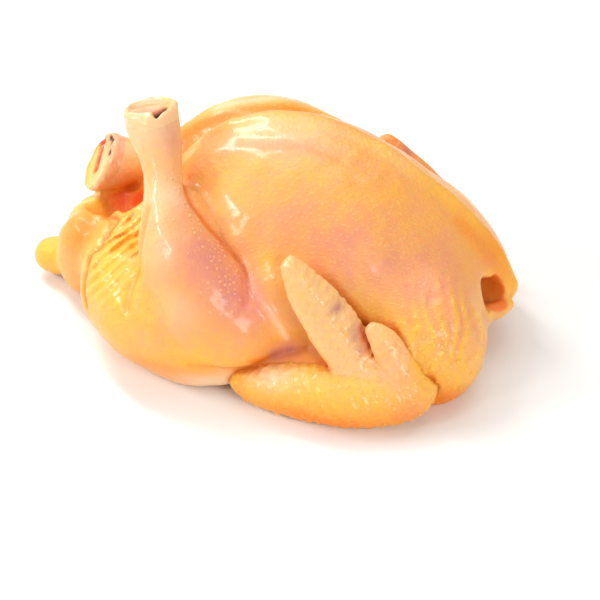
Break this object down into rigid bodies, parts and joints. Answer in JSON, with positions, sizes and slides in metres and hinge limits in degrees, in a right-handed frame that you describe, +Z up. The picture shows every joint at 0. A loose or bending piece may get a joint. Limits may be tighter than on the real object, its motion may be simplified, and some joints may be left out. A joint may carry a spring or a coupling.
{
  "type": "whole chicken",
  "caption": "Raw dressed whole chicken on its back, with drumsticks, folded wings, tail and open body cavity.",
  "frame": {"origin": "middle of the underside of the bounding box, on the surface that the bird lies on", "axes": "+X towards the neck, +Z up through the breast, -Y the side that the picture shows"},
  "size_m": [0.2696, 0.1865, 0.1357],
  "materials": {
    "skin": "moist raw skin, yellow with pink meat showing through"
  },
  "bodies": {
    "root": {"whole_chicken": "skin"}
  },
  "joints": []
}
